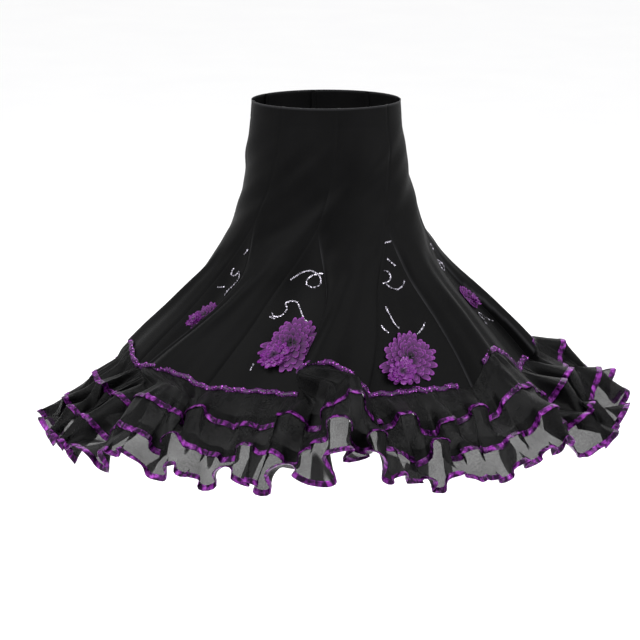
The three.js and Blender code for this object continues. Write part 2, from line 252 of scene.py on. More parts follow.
def cut_size(points):
    """A cut piece's width at its widest, its length and its area, in metres."""
    across, down = (np.linalg.norm(np.diff(points, axis=k), axis=-1).sum(axis=k).max() for k in (1, 0))
    a, b, c, d = points[:-1, :-1], points[1:, :-1], points[1:, 1:], points[:-1, 1:]
    area = np.linalg.norm(np.cross(c - a, d - b), axis=-1).sum() / 2
    return across * MM, down * MM, area * MM * MM


def new_material(name):
    """A material with its Principled shader and the maker of its further nodes."""
    material = bpy.data.materials.new(name)
    material.use_nodes = True
    nodes = material.node_tree.nodes
    return material, nodes["Principled BSDF"], NodeMaker(material.node_tree)


class NodeMaker:
    """Adds nodes to a tree: a value that is a socket is linked, and any other is set."""

    def __init__(self, tree):
        self.tree = tree

    def add(self, kind, inputs=(), **settings):
        node = self.tree.nodes.new(kind)
        for key, value in settings.items():
            setattr(node, key, value)
        for key, value in dict(inputs).items():
            self.feed(node.inputs[key], value)
        return node

    def feed(self, socket, value):
        if isinstance(value, bpy.types.NodeSocket):
            self.tree.links.new(value, socket)
        else:
            socket.default_value = value

    def math(self, operation, a, b=0.0, clamp=False):
        node = self.add("ShaderNodeMath", operation=operation, use_clamp=clamp)
        self.feed(node.inputs[0], a)
        self.feed(node.inputs[1], b)
        return node.outputs[0]

    def mix(self, share, a, b):
        node = self.add("ShaderNodeMix", data_type="RGBA")
        self.feed(node.inputs["Factor"], share)
        self.feed(node.inputs[6], a)
        self.feed(node.inputs[7], b)
        return node.outputs[2]

    def between(self, value, low, high, to_low=0.0, to_high=1.0):
        inputs = {"Value": value, "From Min": low, "From Max": high, "To Min": to_low, "To Max": to_high}
        return self.add("ShaderNodeMapRange", inputs).outputs[0]

    def noise(self, vector, scale, detail=2.0, output="Fac"):
        inputs = {"Vector": vector, "Scale": scale, "Detail": detail}
        return self.add("ShaderNodeTexNoise", inputs).outputs[output]


def node_group(name, inputs, outputs):
    """An empty group with its sockets, and the maker of its nodes."""
    group = bpy.data.node_groups.new(name, "ShaderNodeTree")
    for socket, kind, default in inputs:
        made = group.interface.new_socket(socket, in_out="INPUT", socket_type=kind)
        if default is not None:
            made.default_value = default
    for socket, kind in outputs:
        group.interface.new_socket(socket, in_out="OUTPUT", socket_type=kind)
    maker = NodeMaker(group)
    return group, maker, maker.add("NodeGroupInput"), maker.add("NodeGroupOutput")


# Threads crossing on the cut: Height stands up on each thread, and Cloud drifts slowly over the cloth
weave, make, given, put = node_group(
    "weave",
    [
        ("Vector", "NodeSocketVector", None),
        ("Threads", "NodeSocketFloat", 900),
        ("Drift", "NodeSocketFloat", 14),
    ],
    [("Height", "NodeSocketFloat"), ("Cloud", "NodeSocketFloat")],
)
parts = make.add("ShaderNodeSeparateXYZ", {"Vector": given.outputs["Vector"]})
thread = []
for axis in ("X", "Y"):
    turns = make.math("MULTIPLY", parts.outputs[axis], given.outputs["Threads"])
    wave_at = make.math("SINE", make.math("MULTIPLY", turns, 2 * math.pi))
    thread.append(make.math("MULTIPLY", wave_at, wave_at))
make.feed(put.inputs["Height"], make.math("MAXIMUM", *thread))
cloud = make.noise(given.outputs["Vector"], given.outputs["Drift"], 4.0)
make.feed(put.inputs["Cloud"], make.between(cloud, 0.3, 0.7))


def cloth_nodes(make, threads, drift):
    """The cut's coordinates and the weave on them."""
    cut = make.add("ShaderNodeUVMap").outputs["UV"]
    inputs = {"Vector": cut, "Threads": threads, "Drift": drift}
    woven = make.add("ShaderNodeGroup", node_tree=weave)
    for key, value in inputs.items():
        make.feed(woven.inputs[key], value)
    return cut, woven.outputs["Height"], woven.outputs["Cloud"]


def linear(*rgb):
    """A colour picked on a screen, as light."""
    return [c / 255 / 12.92 if c <= 10 else ((c / 255 + 0.055) / 1.055) ** 2.4 for c in rgb] + [1.0]


def bumped(make, shader, height, strength, distance):
    inputs = {"Strength": strength, "Distance": distance, "Height": height}
    make.feed(shader.inputs["Normal"], make.add("ShaderNodeBump", inputs).outputs["Normal"])


knit, shader, make = new_material("black_knit")
cut, height, cloud = cloth_nodes(make, 520, 9)
plain = make.mix(cloud, linear(6, 6, 6.5), linear(11, 11, 11.5))
# Painted highlight: along each gore's folded crest and the waist's edge the colour is made lighter grey,
# where light would catch them
painted_highlight = make.add("ShaderNodeAttribute", attribute_name="crest_highlight").outputs["Fac"]
caught = make.math("MULTIPLY", painted_highlight, make.between(cloud, 0, 1, 0.35, 1.0))
make.feed(shader.inputs["Base Color"], make.mix(caught, plain, linear(52, 52, 54)))
make.feed(shader.inputs["Roughness"], make.between(cloud, 0, 1, 0.4, 0.52))
shader.inputs["Specular IOR Level"].default_value = 0.04
shader.inputs["Sheen Weight"].default_value = 0.006
shader.inputs["Sheen Roughness"].default_value = 0.4
bumped(make, shader, height, 0.25, 0.0004)

GORE_COLUMNS = 48
GORE_ROWS = 110
CLOTH_WALL = 1.3
SEAM_PULL = 0.9
SEAM_REACH = 3.0
# mm past the seam and mm inwards of a seam allowance
ALLOWANCE = [(0.8, 1.7), (7, 2.4)]
# The waist's edge rolls out a little, and the stitches that hold its turning sink in
WAIST_ROLL = 0.7
WAIST_ROLL_REACH = 2.5
WAIST_TURN = 38
STITCH_SINK = 0.5
STITCH_REACH = 2.2
# Reach of the painted highlight on a fold's crest and on the waist's edge, and where the folds begin to show
# it
CREST_WIDTH = 3.5
WAIST_CREST = 2.0
CREST_FROM = (235, 300)
# Soft ridges that wind round the fitted part: waves all round, winding in degrees for each mm, start, mm
WINDING = [(5, 0.34, 0.6, 2.0), (8, 0.42, 2.1, 1.5), (13, 0.5, 4.0, 0.7)]
WINDING_RISES = (20, 120)
WINDING_FADES = (240, 400)
# The ridges lie flat beside the seams where the godets begin
SEAM_CALM = 25
CALM_FROM = (195, 232)
# Long soft folds down each flare: waves across, start and mm
FLARE_FOLDS = [(2.0, 0.8, 3.4), (3.5, 2.9, 2.0)]
FLARE_FROM = (260, 430)


def smooth(x, low, high):
    t = np.clip((x - low) / (high - low), 0, 1)
    return t * t * (3 - 2 * t)


def hump(x, reach):
    """One at 0, falling away smoothly on both sides."""
    return np.exp(-((x / reach) ** 2))


def winding(points, down):
    angle = np.arctan2(points[..., 0], -points[..., 1])
    ridges = 0
    for waves, turn, start, size in WINDING:
        ridges = ridges + size * np.sin(waves * (angle + np.radians(turn * down)) + start)
    return ridges * smooth(down, *WINDING_RISES) * (1 - smooth(down, *WINDING_FADES))


def edge_distance(points):
    run = run_across(points)
    return np.minimum(run, run[:, -1:] - run)


def seamed(points, lift):
    """Cloth lifted along its own face, and pulled straight inwards along its seams by their thread."""
    pull = SEAM_PULL * hump(edge_distance(points), SEAM_REACH)
    inwards = unit(points * [-1, -1, 0])
    return points + outward(points) * lift[..., None] + inwards * pull[..., None]


def fold_line(points, down):
    """How much each point lies on a gore's folded edge or on the waist's, where a highlight is painted."""
    angle = np.arctan2(points[..., 0], -points[..., 1])
    angle = np.unwrap(np.unwrap(angle, axis=0), axis=1)
    run = run_across(points)
    crest = np.take_along_axis(run, angle.argmin(axis=1)[:, None], axis=1)
    on_fold = hump(run - crest, CREST_WIDTH) * smooth(down, *CREST_FROM)
    return np.maximum(on_fold, hump(down, WAIST_CREST))


for index, name in enumerate(NAMES):
    q = index + np.linspace(0, 0.5, GORE_COLUMNS + 1)[None, :]
    share = 2 * (q - index)
    down = np.linspace(0, 1, GORE_ROWS + 1)[:, None] * hem_down(q)
    points = body_point(q, down)
    at_seam = (1 - smooth(edge_distance(points), 0, SEAM_CALM)) * smooth(down, *CALM_FROM)
    lift = winding(points, down) * (1 - at_seam)
    flared = np.sin(np.pi * share) * smooth(down, *FLARE_FROM)
    for waves, start, size in FLARE_FOLDS:
        lift = lift + size * np.sin(2 * np.pi * waves * share + start + index) * flared
    lift = lift - STITCH_SINK * hump(down - WAIST_TURN, STITCH_REACH)
    lift = lift + WAIST_ROLL * hump(down, WAIST_ROLL_REACH)
    points = seamed(points, lift)
    # The painted highlight along the fold crests and the waist's edge, with none on the seam allowances
    crest_highlight = np.pad(fold_line(points, down), ((0, 0), (0, len(ALLOWANCE))))
    gore = cut_cloth(f"gore_cloth_{name}", turned_behind(points), knit, CLOTH_WALL, crest_highlight=crest_highlight)
    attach(gore, "root")
    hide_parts(f"gore_{name}")
    across, length, area = cut_size(points)


# The godets: triangles of the same knit, let in between the gores from the hips down so that the hem
# flares. They are sewn a little behind the gores, and the next gore's fold covers their right side.
GODET_COLUMNS = 30
GODET_ROWS = 70
# A godet ends just short of a whole share, where the next gore begins
WHOLE = 0.9999
# Its soft folds: waves across, mm, and where down the skirt they rise
GODET_WAVES = 1.5
GODET_FOLD = 1.6
GODET_FOLD_FROM = (300, 450)


def godet_point(index, share, down):
    """A point of a godet and the way out there."""
    q = index + 0.5 + share / 2
    step = 0.002
    point = body_point(q, down)
    across = body_point(q + step, down) - body_point(q - step, down)
    way = body_point(q, down + 1) - body_point(q, down - 1)
    return point, unit(np.cross(way, across))


for index, name in enumerate(NAMES):
    share = np.linspace(0, WHOLE, GODET_COLUMNS + 1)[None, :]
    down = np.linspace(APEX_DOWN, HEM_DOWN, GODET_ROWS + 1)[:, None] + 0 * share
    points = body_point(index + 0.5 + share / 2, down)
    folds = GODET_FOLD * np.sin(2 * np.pi * GODET_WAVES * share + index) * np.sin(np.pi * share)
    points = seamed(points, folds * smooth(down, *GODET_FOLD_FROM))
    godet = cut_cloth(f"godet_cloth_{name}", turned_behind(points), knit, CLOTH_WALL)
    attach(godet, "root")
    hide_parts(f"godet_{name}")
    across, length, area = cut_size(points)


# The ruffles: three strips of thin black chiffon, each gathered and sewn behind the edge above it, and
# waving more and more towards its own. Over white the lowest one is grey where it is a single layer,
# and dark where it lies double.
STEPS = 16
RUFFLE_STEPS = 128
# name, how much shows, swing of the waves, waves in each repeat, phase and wander
RUFFLES = {
    "upper": (78, 17, 3, -0.75, 0),
    "middle": (66, 18, 3.5, 0.05, 0.1),
    "lower": (56, 20, 4, 0.9, 0),
}
# waves all round, start, share of the ruffle's phase and size of the sines that make the waves uneven
WANDERS = [(3, 1.3, 0, 1), (5, 0, 1, 1)]
SWELLS = [(2, 0, 9, 0.25), (7, 0, 0, 0.15)]
# Degrees round from the front, and degrees that the ruffles stand out there from straight down
STAND = np.array([
    [-120, 50], [-90, 54], [-60, 60], [-20, 64], [20, 62], [42, 59],
    [62, 49], [82, 62], [98, 66], [135, 54], [180, 50], [240, 50],
], float)
# mm that a lower ruffle lies behind the one above, at its seam and at that one's ribbon
SEWN_DROP = 4
EDGE_DROP = 10
# Share of the hem's lift that the upper ruffle makes up for, share of its fall at which the gores' folds
# have opened out, and reach in repeats over which its way out is evened
LEVELLING = 0.45
UNFOLDED_AT = 0.5
OUTWARD_REACH = 0.25
RIBBON_WIDTH = 9
# The flutes that the gathers open into at each edge: how many all round, start, and mm that they swing
# out of the cloth and lean over to both sides
FLUTES = {"upper": (45, 0.4, 16, 8), "middle": (51, 2.2, 17, 8), "lower": (58, 4.4, 15, 8)}
# waves all round, start and size of what makes the flutes uneven in length, and in swing
FLUTE_DRIFT = [(5, 0.3, 1.2), (11, 1.9, 0.8), (23, 4.0, 0.5)]
FLUTE_SIZE = [(3, 1.1, 0.22), (8, 2.7, 0.2), (17, 0.5, 0.2)]
FLUTE_MEAN = 0.8
FLUTE_OPENING = 1.3
# The small frill along each edge: how many all round, and mm
FRILLS = (149, 2.0)
# The gathers: how many all round, and mm that they swing where they are deepest and at the edge
GATHERS = (93, 3.2, 1.6)
GATHER_DRIFT = 1.6
GATHER_MEAN = 0.7
# Stretches where the ruffles bunch up: place in repeats, reach, and how much deeper they fold there
BUNCHED = [(1.14, 0.2, 0.75), (3.05, 0.25, 0.4), (5.1, 0.25, 0.5)]
PUCKERS = 170
PUCKER_SWING = 1.3
# Shares of a ruffle's fall between which its gathers and puckers open, and the puckers close again
GATHERS_OPEN = (0, 0.3)
PUCKERS_OPEN = (0, 0.1)
PUCKERS_CLOSE = (0.1, 0.6)


def fall_at(q):
    way = body_point(q + OUTWARD_REACH, HEM_DOWN, 0) - body_point(q - OUTWARD_REACH, HEM_DOWN, 0)
    out = unit(np.stack([way[..., 1], -way[..., 0], 0 * way[..., 0]], -1))
    at = np.degrees(np.arctan2(out[..., 0], -out[..., 1]))
    tilt = np.radians(along(STAND, np.where(at < STAND[0, 0], at + 360, at))[0])[..., None]
    up = np.array([0, 0, 1.0])
    return out * np.sin(tilt) - up * np.cos(tilt), out * np.cos(tilt) + up * np.sin(tilt)


def wave(ruffle, q):
    _, swing, waves, phase, wander = RUFFLES[ruffle]
    turn = 2 * np.pi * q / REPEATS
    drift, size = (
        sum(share * np.sin(count * turn + start + own * phase) for count, start, own, share in table)
        for table in (WANDERS, SWELLS)
    )
    return (1 + size) * swing * np.cos(2 * np.pi * (waves * q + phase + wander * drift))


def upper_point(q, t):
    way, swing = fall_at(q)
    start = body_point(q, hem_down(q), 1 - smooth(t, 0, UNFOLDED_AT))
    length = RUFFLES["upper"][0] + LEVELLING * (HEM_DOWN - hem_down(q))
    return start + way * (t * length)[..., None] + swing * (t * wave("upper", q))[..., None]


solid_q = np.arange(REPEATS * STEPS) / STEPS


def lower_rows(ruffle, above, rows):
    """The rows of a ruffle sewn inside the one above, at the steps of the solids."""
    way, swing = fall_at(solid_q)
    normals = outward(rows, ring=True)
    sewn = rows[-2] - SEWN_DROP * normals[-2]
    edge = rows[-1] + RIBBON_WIDTH * way - EDGE_DROP * normals[-1]
    change = wave(ruffle, solid_q) - wave(above, solid_q)
    hang = [edge + below * (way * RUFFLES[ruffle][0] + swing * change[:, None]) for below in (0, 0.5, 1)]
    return np.array([sewn, *hang])


def refine(row, finer):
    """A closed row of points, curved through them in finer steps."""
    t = (np.arange(finer) / finer)[None, :, None]
    a, b, c, d = (np.roll(row, shift, axis=0)[:, None] for shift in (1, 0, -1, -2))
    tangent_b, tangent_c = (c - a) / 2, (d - b) / 2
    return curve_between(t, 1, b, c, tangent_b, tangent_c).reshape(-1, 3)


fine_q = np.arange(REPEATS * RUFFLE_STEPS) / RUFFLE_STEPS
fine_way, fine_swing = fall_at(fine_q)
fine_turn = 2 * np.pi * fine_q / REPEATS
bunched = 1 + sum(more * hump(fine_q - at, reach) for at, reach, more in BUNCHED)


def uneven(table, start, spread=1):
    """A table's waves added up, all round the skirt."""
    return sum(size * np.sin(waves * fine_turn + spread * at + start) for waves, at, size in table)


def flutes(ruffle, below):
    """The flutes' shift of a ruffle at a share of its fall."""
    count, start, swing, lean = FLUTES[ruffle]
    full = (FLUTE_MEAN + uneven(FLUTE_SIZE, start)) * bunched
    phase = count * fine_turn + start + uneven(FLUTE_DRIFT, start)
    frill = FRILLS[1] * np.sin(FRILLS[0] * fine_turn + 2 * start) * below ** 2
    out = fine_swing * (full * swing * below ** FLUTE_OPENING * np.sin(phase) + frill)[:, None]
    across = np.cross(fine_way, fine_swing) * (full * lean * below ** 2 * np.sin(2 * phase))[:, None]
    return out + across


def inside(rows, from_row, deep):
    """Rows inside a ruffle's folds, from one of its rows down to its ribbon's edge."""
    past = rows[-1] + RIBBON_WIDTH * unit(rows[-1] - rows[-2])
    out = unit(outward(rows, ring=True))
    path = np.concatenate([rows[from_row:], past[None]])
    away = np.concatenate([out[from_row:], out[-1:]])
    depth = lerp(deep[0], deep[1], smooth(np.linspace(0, 1, len(path)), 0, TUCK_DEEPENED))
    return path - away * depth[:, None, None]


def gathers(ruffle, below):
    """The gathers' shift: fine puckers at the seam that run together into folds down the ruffle."""
    start = FLUTES[ruffle][1]
    count, deep, at_edge = GATHERS
    phase = count * fine_turn + GATHER_DRIFT * uneven(FLUTE_DRIFT, start, spread=2) + start
    folds = lerp(deep, at_edge, below) * smooth(below, *GATHERS_OPEN) * np.sin(phase)
    depth = GATHER_MEAN + uneven(FLUTE_SIZE, 0, spread=3)
    puckered = smooth(below, *PUCKERS_OPEN) * (1 - smooth(below, *PUCKERS_CLOSE))
    puckers = PUCKER_SWING * puckered * np.sin(PUCKERS * fine_turn)
    return fine_swing * (folds * depth * bunched ** 2 + puckers)[:, None]


upper_solid = np.array([upper_point(solid_q, np.full(solid_q.shape, t)) for t in (0, 0.5, 1)])
middle_solid = lower_rows("middle", "upper", upper_solid)
lower_solid = lower_rows("lower", "middle", middle_solid)

UPPER_ROWS = 18
rows = []
for t in np.linspace(0, 1, UPPER_ROWS):
    row = upper_point(fine_q, np.full(fine_q.shape, t))
    rows.append(row + flutes("upper", t) + gathers("upper", t))
ruffle_rows = {"upper": np.array(rows)}

HANG_ROWS = 18
# A lower ruffle begins inside the one above: from which of its rows, mm deep there and at the ribbon,
# and the share of the way at which it is full deep
TUCKED_FROM = -6
TUCKED_DEEP = (2.4, 3.2)
TUCK_DEEPENED = 0.7
for ruffle, above, solid in (("middle", "upper", middle_solid), ("lower", "middle", lower_solid)):
    fine = [refine(row, RUFFLE_STEPS // STEPS) for row in solid]
    rows = list(inside(ruffle_rows[above], TUCKED_FROM, TUCKED_DEEP))
    start = rows[-1] - fine[1]
    for below in np.linspace(0, 1, HANG_ROWS)[1:]:
        half = min(int(below * 2), 1)
        row = lerp(fine[1 + half], fine[2 + half], below * 2 - half)
        rows.append(row + start * (1 - below) + flutes(ruffle, below) + gathers(ruffle, below))
    ruffle_rows[ruffle] = np.array(rows)


# How closely the doubled stretches follow each other round the hem and down it
DOUBLE_SCALE = (15, 4, 0)
COVER_VARIES = 0.08


def chiffon(name, cover, light, double=0):
    """Chiffon that stops a share of the light, and another share where it lies double along the hem."""
    material, shader, make = new_material(name)
    cut, height, cloud = cloth_nodes(make, 420, 16)
    lighter = [c + 6 for c in light]
    make.feed(shader.inputs["Base Color"], make.mix(cloud, linear(*light), linear(*lighter)))
    make.feed(shader.inputs["Roughness"], make.between(cloud, 0, 1, 0.38, 0.52))
    grain = make.math("ADD", cloud, make.between(make.noise(cut, 300, 3.0), 0.35, 0.65))
    single = make.between(grain, 0, 2, cover - COVER_VARIES, min(cover + COVER_VARIES, 1))
    round_hem = make.add("ShaderNodeVectorMath", {0: cut, 1: DOUBLE_SCALE}, operation="MULTIPLY")
    stretches = make.noise(round_hem.outputs[0], 1.0, 1.0)
    lies_double = make.between(stretches, 0.52, 0.57, 0, double)
    make.feed(shader.inputs["Alpha"], make.math("MAXIMUM", single, lies_double))
    shader.inputs["Specular IOR Level"].default_value = 0.06
    shader.inputs["Sheen Weight"].default_value = 0.01
    bumped(make, shader, height, 0.2, 0.0004)
    return material


CHIFFON = {
    "upper": chiffon("black_chiffon_upper", 0.96, (7, 7, 7.5)),
    "middle": chiffon("black_chiffon_middle", 0.93, (7, 7, 7.5)),
    "lower": chiffon("black_chiffon_lower", 0.66, (9, 9, 9.5), double=0.9),
}
CHIFFON_WALL = 0.8
for ruffle, points in ruffle_rows.items():
    strip = cut_cloth(f"ruffle_cloth_{ruffle}", points, CHIFFON[ruffle], CHIFFON_WALL, ring=True)
    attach(strip, "root")
    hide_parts(*[f"ruffle_{ruffle}_{name}" for name in NAMES])


# The bindings: purple satin ribbon folded over each ruffle's edge and stitched through, so that it is
# full at its top, thin at its fold and puckered all along, where it catches the light.

# Places round the ribbon: mm below the ruffle's edge and mm out from the middle of its wall
RIBBON_SECTION = np.array([
    [-2.8, 1.15], [0.6, 1.5], [4.0, 1.3], [7.4, 1.05], [9.0, 0.5],
    [9.0, -0.5], [7.4, -1.05], [4.0, -1.3], [0.6, -1.5], [-2.8, -1.15],
])
# waves all round, start and share of the ribbon's puckers
PUCKERED = [(211, 0.3, 0.35), (331, 1.7, 0.3), (127, 4.1, 0.3)]
# mm that the puckers move the ribbon's fold, and from where down its section; the share by which they
# fill it and the mm by which they sway it, and how many steps round each of these follows behind
FOLD_WAVER = 0.7
WAVER_FROM = 2
PUCKER_FILL = 0.22
FILL_STEPS = 9
PUCKER_SWAY = 0.35
SWAY_STEPS = 31
TUBE_CREASE = math.radians(60)

# The stitches that hold the ribbon: metres round it from its upper edge, and their length
STITCH_AT = 0.0024
STITCH_LENGTH = 0.0034

satin, shader, make = new_material("purple_satin")
cut = make.add("ShaderNodeUVMap").outputs["UV"]
folds = make.noise(cut, 90, 3.0)
crease_shading = make.between(folds, 0.44, 0.64)
parts = make.add("ShaderNodeSeparateXYZ", {"Vector": cut})
off_line = make.math("ABSOLUTE", make.math("SUBTRACT", parts.outputs["Y"], STITCH_AT))
dashes = make.math("SINE", make.math("MULTIPLY", parts.outputs["X"], 2 * math.pi / STITCH_LENGTH))
on_line = make.between(off_line, 0.00045, 0.0002)
stitch = make.math("MULTIPLY", on_line, make.between(dashes, -0.5, -0.2))
# Painted shade and highlight: the ribbon is darker where the fold noise sinks into the bump's creases and
# lighter on its raised puckers
satin_colour = make.mix(crease_shading, linear(24, 5, 30), linear(122, 42, 136))
make.feed(shader.inputs["Base Color"], make.mix(stitch, satin_colour, linear(20, 5, 26)))
make.feed(shader.inputs["Roughness"], make.between(folds, 0.3, 0.7, 0.18, 0.32))
shader.inputs["Metallic"].default_value = 0.3
shader.inputs["Specular IOR Level"].default_value = 0.35
shader.inputs["Specular Tint"].default_value = (0.75, 0.45, 0.85, 1)
bumped(make, shader, folds, 0.9, 0.002)


def loft(name, sections, material, closed):
    """A tube through sections of the same number of points, closed in a ring or capped."""
    count, corners = sections.shape[:2]
    lengths = count if closed else count - 1
    made, mesh, corner, station = new_grid(name, corners, lengths)
    mesh.vertices.foreach_set("co", (sections[station % count, corner % corners] * MM).ravel())
    middle = sections.mean(axis=1)[np.arange(lengths + 1) % count]
    run = run_across(middle[None])[0]
    around = np.linspace(0, run_across(sections[:1])[0, -1], corners + 1)
    lay_uv(mesh, np.stack([run[station], around[corner]], -1))
    edit_all()
    bpy.ops.mesh.remove_doubles(threshold=WELD)
    if not closed:
        bpy.ops.mesh.select_all(action="DESELECT")
        bpy.ops.mesh.select_non_manifold()
        bpy.ops.mesh.fill_holes(sides=0)
    bpy.ops.mesh.select_all(action="SELECT")
    bpy.ops.mesh.normals_make_consistent(inside=False)
    bpy.ops.object.mode_set(mode="OBJECT")
    bpy.ops.object.shade_smooth_by_angle(angle=TUBE_CREASE)
    mesh.materials.append(material)
    made.select_set(False)
    return made


for ruffle, points in ruffle_rows.items():
    edge = points[-1]
    low = unit(points[-1] - points[-2])
    out = outward(points, ring=True)[-1]
    crinkle = uneven(PUCKERED, len(ruffle))[:, None]
    fall, thick = RIBBON_SECTION.T
    fall = fall + FOLD_WAVER * crinkle * (fall > WAVER_FROM)
    thick = thick * (1 + PUCKER_FILL * np.roll(crinkle, FILL_STEPS, axis=0)) - CHIFFON_WALL / 2
    thick = thick + PUCKER_SWAY * np.roll(crinkle, SWAY_STEPS, axis=0)
    sections = edge[:, None] + low[:, None] * fall[..., None] + out[:, None] * thick[..., None]
    ribbon = loft(f"satin_ribbon_{ruffle}", sections, satin, closed=True)
    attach(ribbon, "root")
    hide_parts(f"ribbon_{ruffle}")
    across, length, area = cut_size(np.concatenate([points, points[:, :1]], axis=1))
    area = min(area, across * length)


# The braid: a narrow gathered purple tape sewn over the seam between the panels and the ruffles, and
# set all over with small sequins. It lies in eight lengths, each ending under the next gore's fold.
BRAID_WIDTH = 11
BRAID_HEIGHT = 3.8
BRAID_FROM = 2 / 16
BRAID_TO = 15 / 16
BRAID_STEPS = 110
BRAID_SIDES = 7
# mm that it lies up the skirt from the seam and off the cloth, and the share of its height it puffs to
BRAID_FOOT = -1
BRAID_OFF = 0.5
BRAID_PUFF = 0.8
# turn for each step, start for each length and share or mm: where it is full, and how it weaves
BRAID_FULL = [(2.1, 1, 0.22), (3.7, 0, 0.12)]
BRAID_WEAVE = [(0.55, 1, 1.8), (0.23, 2, 1.2)]
SEQUIN_RADIUS = 1.9
SEQUIN_SPACING = 2.1
# Shares of the braid's round where its sequins sit, and how high they sit on it
SEQUINS_WITHIN = (0.15, 0.85)
SEQUIN_OFF = 0.9
SEQUIN_PUFF = 0.85
rng = np.random.default_rng(7)

braiding, shader, make = new_material("purple_braid")
cut = make.add("ShaderNodeUVMap").outputs["UV"]
tucks = make.noise(cut, 260, 2.0)
# Painted shade: the tape's colour is darker in the hollows of its tucks and lighter where they are raised,
# from the same noise as its bump
tuck_shading = make.between(tucks, 0.35, 0.65)
make.feed(shader.inputs["Base Color"], make.mix(tuck_shading, linear(26, 6, 34), linear(78, 24, 90)))
make.feed(shader.inputs["Roughness"], make.between(tucks, 0.3, 0.7, 0.35, 0.55))
shader.inputs["Specular IOR Level"].default_value = 0.3
bumped(make, shader, tucks, 0.6, 0.001)


def sequin_material(name, dark, bright, metallic):
    """Cupped foil discs, each a little brighter or darker than its neighbours as painted glints."""
    material, shader, make = new_material(name)
    where = make.add("ShaderNodeTexCoord").outputs["Object"]
    glints = make.noise(where, 330, 1.0)
    # Painted glints: spots of the foil's colour made brighter from the noise
    lit = make.between(glints, 0.35, 0.65)
    make.feed(shader.inputs["Base Color"], make.mix(lit, linear(*dark), linear(*bright)))
    make.feed(shader.inputs["Roughness"], make.between(glints, 0.3, 0.7, 0.16, 0.34))
    shader.inputs["Metallic"].default_value = metallic
    return material


purple_foil = sequin_material("purple_foil", (46, 12, 56), (168, 84, 184), 0.8)

# One sequin is modelled: a dished disc of eight sides, with its rim and dish as shares of its radius
SEQUIN_RIM = 0.22
SEQUIN_DISH = 0.18
SEQUIN_TILT = 0.28
bpy.ops.mesh.primitive_circle_add(vertices=8, radius=1, fill_type="TRIFAN")
one = bpy.context.object
edit_all()
bpy.ops.mesh.extrude_region_move(TRANSFORM_OT_translate={"value": (0, 0, SEQUIN_RIM)})
bpy.ops.object.mode_set(mode="OBJECT")
for vertex in one.data.vertices:
    if Vector(vertex.co[:2]).length < 0.5:
        vertex.co.z -= SEQUIN_DISH
edit_all()
bpy.ops.mesh.normals_make_consistent(inside=False)
bpy.ops.mesh.quads_convert_to_tris()
bpy.ops.object.mode_set(mode="OBJECT")
sequin_points = np.array([vertex.co[:] for vertex in one.data.vertices])
sequin_faces = np.array([face.vertices[:] for face in one.data.polygons])
bpy.data.objects.remove(one)


def lay_sequins(name, centres, out, material, radius):
    """Copies of the sequin at the centres, each tilted a little from the way out."""
    out = unit(out + SEQUIN_TILT * rng.normal(size=out.shape))
    side = unit(np.cross(out, rng.normal(size=out.shape)))
    axes = np.stack([side, np.cross(out, side), out], axis=1)
    spread = centres[:, None] + (sequin_points * radius) @ axes
    faces = sequin_faces[None] + (np.arange(len(centres)) * len(sequin_points))[:, None, None]
    mesh = bpy.data.meshes.new(name)
    mesh.from_pydata((spread.reshape(-1, 3) * MM).tolist(), [], faces.reshape(-1, 3).tolist())
    mesh.materials.append(material)
    made = bpy.data.objects.new(name, mesh)
    bpy.context.collection.objects.link(made)
    return made


def swaying(table, step, index):
    return sum(size * np.sin(rate * step + start * index) for rate, start, size in table)


def at_steps(values, at):
    """A row of values at places between its whole steps."""
    low = np.floor(at).astype(int)
    return lerp(values[low], values[np.minimum(low + 1, len(values) - 1)], (at % 1)[:, None])


for index, name in enumerate(NAMES):
    q = index + np.linspace(BRAID_FROM, BRAID_TO, BRAID_STEPS)
    hem = body_point(q, hem_down(q))
    up = unit(body_point(q, hem_down(q) - 6) - hem)
    out = unit(np.cross(np.gradient(hem, axis=0), up))
    step = np.arange(BRAID_STEPS)
    full = 1 + swaying(BRAID_FULL, step, index)
    weaving = swaying(BRAID_WEAVE, step, index)
    sections = []
    for turn_at in np.linspace(0, np.pi, BRAID_SIDES):
        reach = BRAID_WIDTH * (0.5 + 0.5 * np.cos(turn_at)) * (0.94 + 0.06 * full) + weaving + BRAID_FOOT
        rise = BRAID_OFF + BRAID_HEIGHT * np.sin(turn_at) * full * BRAID_PUFF
        sections.append(hem + up * reach[:, None] + out * rise[:, None])
    braid = loft(f"braid_tape_{name}", np.stack(sections, axis=1), braiding, closed=False)
    count = int(run_across(hem[None])[0, -1] / SEQUIN_SPACING)
    at = np.sort(rng.uniform(0, BRAID_STEPS - 1, count))
    spot = rng.uniform(*SEQUINS_WITHIN, count) * np.pi
    reach = (BRAID_WIDTH * (0.5 + 0.5 * np.cos(spot)) + BRAID_FOOT)[:, None] + at_steps(weaving[:, None], at)
    rise = (SEQUIN_OFF + BRAID_HEIGHT * np.sin(spot) * SEQUIN_PUFF)[:, None]
    centres = at_steps(hem, at) + at_steps(up, at) * reach + at_steps(out, at) * rise
    way = unit(at_steps(out, at) * np.sin(spot)[:, None] + at_steps(up, at) * np.cos(spot)[:, None])
    sequins = lay_sequins(f"braid_sequins_{name}", centres, way, purple_foil, SEQUIN_RADIUS)
    for piece in (braid, sequins):
        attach(piece, "root")
    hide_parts(f"braid_{name}")


# The flowers: rounds of lace petals sewn one over another on each godet, the largest underneath, with a
# scalloped corded edge to every petal and a knot of small petals in the middle.

# mm down the skirt and share across the godet of each flower's middle
FLOWER_PLACES = [
    (442, 0.6), (470, 0.42), (400, 0.6), (450, 0.5), (440, 0.55), (465, 0.45), (445, 0.5), (415, 0.62),
]
FLOWER_RADIUS = 55
FLOWER_MARGIN = 3
